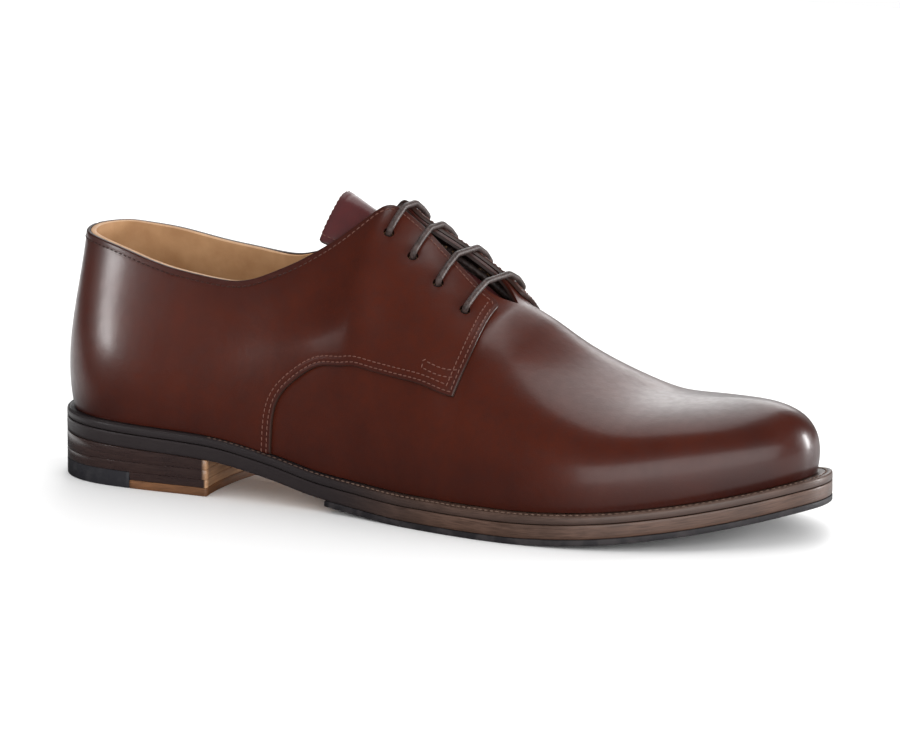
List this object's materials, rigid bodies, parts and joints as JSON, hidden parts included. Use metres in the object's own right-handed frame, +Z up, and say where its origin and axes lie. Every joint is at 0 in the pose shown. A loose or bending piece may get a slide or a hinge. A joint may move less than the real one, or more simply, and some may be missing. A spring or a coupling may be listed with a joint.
{
  "type": "derby shoe",
  "caption": "Plain derby shoe for the right foot, with open lacing over straight bars, a welted leather sole and a stacked heel.",
  "frame": {"origin": "centre of the bounding box's bottom, on the floor under the waist", "axes": "-Y towards the toe, +Y towards the heel, +X towards the medial side, +Z up"},
  "size_m": [0.107, 0.305, 0.1118],
  "materials": {
    "vamp": "polished calf",
    "quarter": "polished calf",
    "tongue": "polished calf",
    "lace": "waxed cotton",
    "insole": "natural",
    "welt": "stained and waxed",
    "sole_edge": "stained and waxed edge",
    "half_sole": "matt",
    "heel_lift": "stained and waxed edge",
    "top_rubber": "satin",
    "bare_leather": "natural edge"
  },
  "bodies": {
    "root": {"upper": "vamp", "quarter_lateral": "quarter", "quarter_medial": "quarter", "tongue": "tongue", "lace": "lace", "insole": "insole", "welt": "welt", "outsole": "sole_edge", "half_sole": "half_sole", "heel_lift_top": "heel_lift", "heel_lift_middle": "heel_lift", "heel_lift_front": "heel_lift", "heel_top_rubber": "top_rubber", "heel_top_leather": "bare_leather"}
  },
  "joints": []
}
